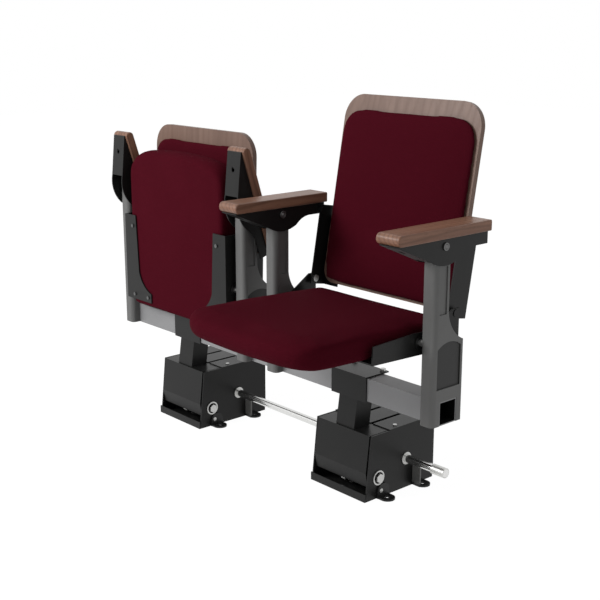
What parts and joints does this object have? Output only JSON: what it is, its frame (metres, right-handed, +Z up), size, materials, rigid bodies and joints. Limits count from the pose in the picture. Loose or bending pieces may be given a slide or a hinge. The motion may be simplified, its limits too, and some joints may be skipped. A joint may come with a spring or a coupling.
{
  "type": "folding stadium seat",
  "caption": "Folding stadium seat: upholstered chairs with wooden arms and backs on a square beam, carried by floor boxes that let the row fold forward.",
  "frame": {"origin": "centre of the floor bolt pattern, on the floor", "axes": "+Z up, +X along the beam to the right of someone facing the chairs, chairs face -Y"},
  "size_m": [1.119, 0.5074, 0.8371],
  "materials": {
    "black_sheet": "semi-matt black powder coat",
    "grey_casting": "satin grey paint",
    "bright_hardware": "bright zinc",
    "dark_hardware": "blackened steel",
    "chrome": "polished",
    "walnut": "satin lacquered walnut",
    "red_fabric": "woven upholstery, dark wine red"
  },
  "bodies": {
    "base": {"left_box_outer_side": "black_sheet", "left_box_inner_side": "black_sheet", "left_base_tray": "black_sheet", "left_top_cover": "black_sheet", "right_box_outer_side": "black_sheet", "right_box_inner_side": "black_sheet", "right_base_tray": "black_sheet", "right_top_cover": "black_sheet", "floor_feet": "black_sheet", "pivot_bolts": "bright_hardware", "shaft_bearings": "bright_hardware", "box_screws": "bright_hardware", "stop_pegs": "bright_hardware"},
    "row": {"left_pedestal": "black_sheet", "right_pedestal": "black_sheet", "stop_arms": "bright_hardware", "sector_gears": "bright_hardware", "left_guard": "black_sheet", "right_guard": "black_sheet", "beam": "grey_casting", "left_outer_post": "grey_casting", "left_inner_post": "grey_casting", "right_inner_post": "grey_casting", "right_outer_post": "grey_casting", "left_saddle": "black_sheet", "right_saddle": "black_sheet", "saddle_bolts": "bright_hardware", "seat_hinge_pins": "bright_hardware", "arm_pivot_bolts": "dark_hardware"},
    "shaft": {"drive_shaft": "chrome", "drive_gears": "bright_hardware", "shaft_coupling": "bright_hardware"},
    "left_arms": {"left_outer_arm_cap": "walnut", "left_inner_arm_cap": "walnut", "left_outer_arm_bracket": "black_sheet", "left_inner_arm_bracket": "black_sheet"},
    "left_back": {"left_back_panel": "walnut", "left_back_cushion": "red_fabric", "left_outer_back_leg": "black_sheet", "left_inner_back_leg": "black_sheet", "left_back_bolts": "dark_hardware"},
    "left_links": {"left_lower_links": "black_sheet"},
    "left_seat": {"left_seat_cushion": "red_fabric", "left_outer_seat_bracket": "black_sheet", "left_inner_seat_bracket": "black_sheet", "left_seat_screws": "dark_hardware"},
    "right_arms": {"right_outer_arm_cap": "walnut", "right_inner_arm_cap": "walnut", "right_outer_arm_bracket": "black_sheet", "right_inner_arm_bracket": "black_sheet"},
    "right_back": {"right_back_panel": "walnut", "right_back_cushion": "red_fabric", "right_outer_back_leg": "black_sheet", "right_inner_back_leg": "black_sheet", "right_back_bolts": "dark_hardware"},
    "right_links": {"right_lower_links": "black_sheet"},
    "right_seat": {"right_seat_cushion": "red_fabric", "right_outer_seat_bracket": "black_sheet", "right_inner_seat_bracket": "black_sheet", "right_seat_screws": "dark_hardware"}
  },
  "joints": [
    {"name": "row_fold", "type": "hinge", "parent": "base", "child": "row", "pos_m": [0, -0.069, 0.047], "axis": [1, 0, 0], "range_deg": [0, 88]},
    {"name": "shaft_spin", "type": "hinge", "parent": "base", "child": "shaft", "pos_m": [0, 0.0162, 0.06903], "axis": [1, 0, 0], "range_deg": [-61, 0.5]},
    {"name": "left_chair_fold", "type": "hinge", "parent": "row", "child": "left_arms", "pos_m": [-0.2925, -0.079, 0.579], "axis": [-1, 0, 0], "range_deg": [-72.5, 0]},
    {"name": "left_back_swing", "type": "hinge", "parent": "left_arms", "child": "left_back", "pos_m": [-0.2925, -0.04597, 0.47093], "axis": [-1, 0, 0], "range_deg": [0, 81.2]},
    {"name": "left_link_swing", "type": "hinge", "parent": "row", "child": "left_links", "pos_m": [-0.2925, -0.051, 0.386], "axis": [-1, 0, 0], "range_deg": [-116.8, 0]},
    {"name": "left_seat_tip", "type": "hinge", "parent": "row", "child": "left_seat", "pos_m": [-0.2925, -0.088, 0.38], "axis": [-1, 0, 0], "range_deg": [-88.2, 0]},
    {"name": "right_chair_fold", "type": "hinge", "parent": "row", "child": "right_arms", "pos_m": [0.2925, -0.079, 0.579], "axis": [-1, 0, 0], "range_deg": [0, 72.5]},
    {"name": "right_back_swing", "type": "hinge", "parent": "right_arms", "child": "right_back", "pos_m": [0.2925, 0.034, 0.578], "axis": [-1, 0, 0], "range_deg": [-81.2, 0]},
    {"name": "right_link_swing", "type": "hinge", "parent": "row", "child": "right_links", "pos_m": [0.2925, -0.051, 0.386], "axis": [-1, 0, 0], "range_deg": [0, 116.8]},
    {"name": "right_seat_tip", "type": "hinge", "parent": "row", "child": "right_seat", "pos_m": [0.2925, -0.088, 0.38], "axis": [-1, 0, 0], "range_deg": [0, 88.2]}
  ],
  "couplings": [
    {"joint": "shaft_spin", "follows": "row_fold", "ratio": -0.69231},
    {"joint": "left_back_swing", "follows": "left_chair_fold", "ratio": -1.1172},
    {"joint": "left_link_swing", "follows": "left_chair_fold", "ratio": 1.6083},
    {"joint": "left_seat_tip", "follows": "left_chair_fold", "ratio": 1.2138},
    {"joint": "right_back_swing", "follows": "right_chair_fold", "ratio": -1.1172},
    {"joint": "right_link_swing", "follows": "right_chair_fold", "ratio": 1.6083},
    {"joint": "right_seat_tip", "follows": "right_chair_fold", "ratio": 1.2138}
  ]
}
